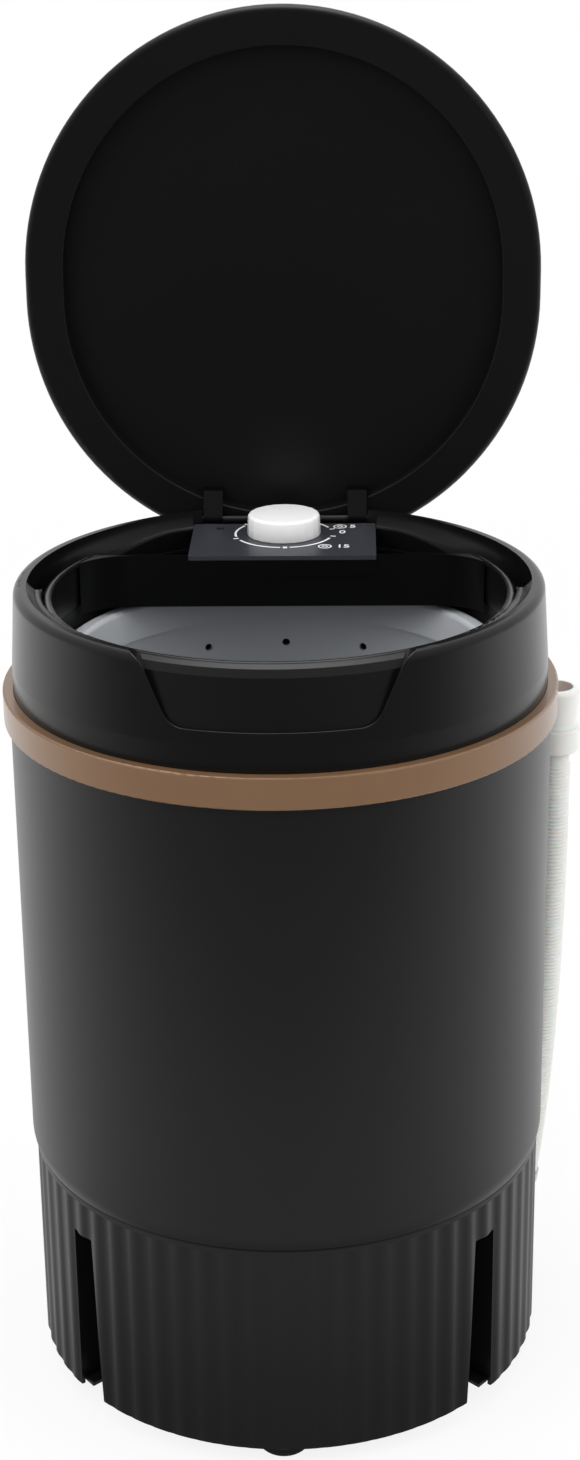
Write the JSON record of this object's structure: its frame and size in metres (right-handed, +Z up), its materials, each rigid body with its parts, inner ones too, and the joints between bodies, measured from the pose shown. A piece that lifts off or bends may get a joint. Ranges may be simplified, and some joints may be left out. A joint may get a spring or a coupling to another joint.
{
  "type": "portable washing machine",
  "caption": "Round portable washing machine with a lid that stands open, a bronze band, a fluted base, a dial timer and a ribbed drain hose.",
  "frame": {"origin": "on the floor, on the axis of the tub", "axes": "+Z up along the tub's axis, the front with the finger recess faces -Y, the drain hose is on the +X side, the lid stands open at +Y"},
  "size_m": [0.3719, 0.366, 0.8737],
  "materials": {
    "black_shell": "satin black",
    "black_lid": "fine grained black",
    "bronze_trim": "satin bronze paint",
    "dark_ring": "satin dark grey",
    "grey_panel": "satin blue grey",
    "white_knob": "gloss white",
    "white_plastic": "plain white",
    "grey_tub": "plain grey",
    "pale_basket": "plain pale grey",
    "pale_hose": "cloudy off-white",
    "steel": "bright",
    "cast_alloy": "as cast",
    "motor_paint": "black paint",
    "black_rubber": "matt"
  },
  "bodies": {
    "cabinet": {"collar": "black_shell", "trim_band": "bronze_trim", "body_shell": "black_shell", "base_skirt": "black_shell", "base_pan": "black_shell", "rubber_feet": "black_rubber", "foot_screws": "steel", "pan_screws": "steel", "wash_tub": "grey_tub", "tub_screws": "steel", "tub_ring": "dark_ring", "control_housing": "dark_ring", "control_panel": "grey_panel", "timer_body": "white_plastic", "timer_screws": "steel", "lid_switch": "white_plastic", "hinge_rod": "motor_paint", "bearing_housing": "cast_alloy", "bearing_screws": "steel", "lower_bearing": "steel", "upper_bearing": "steel", "shaft_seal": "black_rubber", "motor_bracket": "motor_paint", "motor_bushes": "black_rubber", "motor_bolts": "steel", "motor": "motor_paint", "drive_belt": "black_rubber", "capacitor": "white_plastic", "capacitor_clip": "steel", "drain_hose": "pale_hose", "hose_nut": "pale_hose", "hose_spout": "pale_hose", "hose_clip": "black_shell", "clip_screw": "steel", "drain_outlet": "black_shell", "drain_tube": "pale_hose", "hose_clamp": "steel", "cord_gland": "black_rubber"},
    "lid": {"lid_liner": "black_lid", "lid_cover": "black_lid", "hinge_arms": "black_lid"},
    "timer": {"timer_knob": "white_knob", "timer_shaft": "steel"},
    "switch": {"lid_switch_button": "white_plastic"},
    "basket": {"spin_basket": "pale_basket", "balance_ring": "pale_basket", "basket_hub": "steel"},
    "agitator": {"pulsator": "pale_basket", "pulsator_screw": "steel", "drive_shaft": "steel", "drive_pulley": "cast_alloy", "pulley_nut": "steel"},
    "motor_rotor": {"motor_shaft": "steel", "motor_pulley": "cast_alloy"}
  },
  "joints": [
    {"name": "lid_hinge", "type": "hinge", "parent": "cabinet", "child": "lid", "pos_m": [0, 0.152, 0.5365], "axis": [1, 0, 0], "range_deg": [0, 92]},
    {"name": "timer_turn", "type": "hinge", "parent": "cabinet", "child": "timer", "pos_m": [0, 0.121, 0.535], "axis": [0, 0, 1], "range_deg": [-165, 165]},
    {"name": "lid_switch_press", "type": "slide", "parent": "cabinet", "child": "switch", "axis": [0, 0, 1], "range_m": [-0.003, 0], "stiffness_N_per_m": 150},
    {"name": "basket_spin", "type": "hinge", "parent": "cabinet", "child": "basket", "pos_m": [0, 0, 0.2], "axis": [0, 0, 1], "continuous": true},
    {"name": "pulsator_spin", "type": "hinge", "parent": "cabinet", "child": "agitator", "pos_m": [0, 0, 0.2], "axis": [0, 0, 1], "continuous": true},
    {"name": "motor_spin", "type": "hinge", "parent": "cabinet", "child": "motor_rotor", "pos_m": [-0.095, 0, 0.09], "axis": [0, 0, 1], "continuous": true}
  ],
  "couplings": [
    {"joint": "motor_spin", "follows": "pulsator_spin", "ratio": 3.99}
  ]
}
